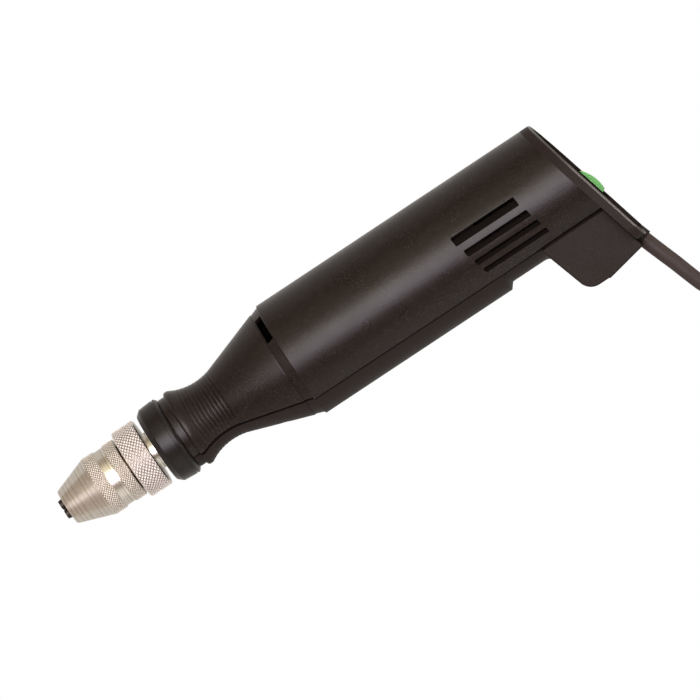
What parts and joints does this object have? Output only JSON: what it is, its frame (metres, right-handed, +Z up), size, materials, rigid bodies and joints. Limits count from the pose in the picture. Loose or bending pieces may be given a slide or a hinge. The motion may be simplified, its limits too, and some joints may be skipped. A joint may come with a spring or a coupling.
{
  "type": "hand-held mini drill",
  "caption": "Hand-held rotary tool with a keyless chuck, waisted nose, slotted barrel, rear foot, rocker switch and a coiled lead with a low-voltage plug.",
  "frame": {"origin": "on the surface that the tool lies on, under the middle of the tool without its cord", "axes": "+X along the spindle, from the chuck to the rear; -Y towards the foot; +Z up, out of the side that faces the viewer"},
  "size_m": [0.354, 0.1012, 0.0442],
  "materials": {
    "housing_plastic": "fine satin texture, dark brown",
    "black_plastic": "satin, near black",
    "bright_steel": "polished",
    "spindle_steel": "turned",
    "dark_steel": "blackened",
    "copper": "enamelled copper",
    "bronze": "sintered bronze",
    "ferrite": "dull ferrite",
    "green_plastic": "smooth green",
    "carbon": "pressed carbon",
    "cord_sheath": "soft sheath, dark brown"
  },
  "bodies": {
    "tool": {"housing_upper": "housing_plastic", "housing_lower": "housing_plastic", "nose_ring": "black_plastic", "rear_plate": "black_plastic", "switch_body": "black_plastic", "cover_screw_1": "dark_steel", "cover_screw_2": "dark_steel", "cover_screw_3": "dark_steel", "front_bearing": "dark_steel", "spindle_bearing": "dark_steel", "front_bush": "bronze", "rear_bush": "bronze", "motor_can": "spindle_steel", "end_bell": "black_plastic", "magnet_1": "ferrite", "magnet_2": "ferrite", "brush_1": "carbon", "brush_2": "carbon", "brush_cap_1": "bronze", "brush_cap_2": "bronze", "cord_run": "cord_sheath", "cord_coil": "cord_sheath", "cord_tail": "cord_sheath", "cord_plug": "black_plastic", "plug_barrel": "bright_steel"},
    "rotor": {"chuck_body": "bright_steel", "spindle": "spindle_steel", "shaft_coupling": "spindle_steel", "motor_shaft": "spindle_steel", "fan": "black_plastic", "armature_core": "dark_steel", "winding_front": "copper", "winding_rear": "copper", "commutator": "copper"},
    "sleeve": {"chuck_sleeve": "bright_steel"},
    "jaw_one": {"jaw_1": "dark_steel"},
    "jaw_two": {"jaw_2": "dark_steel"},
    "jaw_three": {"jaw_3": "dark_steel"},
    "switch_rocker": {"rocker": "green_plastic"}
  },
  "joints": [
    {"name": "spindle_turn", "type": "hinge", "parent": "tool", "child": "rotor", "pos_m": [0, 0.0074, 0.0221], "axis": [1, 0, 0], "continuous": true},
    {"name": "sleeve_turn", "type": "hinge", "parent": "rotor", "child": "sleeve", "pos_m": [0, 0.0074, 0.0221], "axis": [1, 0, 0], "range_deg": [0, 720]},
    {"name": "jaw_one_slide", "type": "slide", "parent": "rotor", "child": "jaw_one", "axis": [0.9744, -0.1948, 0.1125], "range_m": [0, 0.0026]},
    {"name": "jaw_two_slide", "type": "slide", "parent": "rotor", "child": "jaw_two", "axis": [0.9744, 0, -0.225], "range_m": [0, 0.0026]},
    {"name": "jaw_three_slide", "type": "slide", "parent": "rotor", "child": "jaw_three", "axis": [0.9744, 0.1948, 0.1125], "range_m": [0, 0.0026]},
    {"name": "rocker_tip", "type": "hinge", "parent": "tool", "child": "switch_rocker", "pos_m": [0.10121, 0.00055, 0.0221], "axis": [0, 0, 1], "range_deg": [-12, 0]}
  ],
  "couplings": [
    {"joint": "jaw_one_slide", "follows": "sleeve_turn", "m_per_rad": 0.0002069},
    {"joint": "jaw_two_slide", "follows": "sleeve_turn", "m_per_rad": 0.0002069},
    {"joint": "jaw_three_slide", "follows": "sleeve_turn", "m_per_rad": 0.0002069}
  ]
}
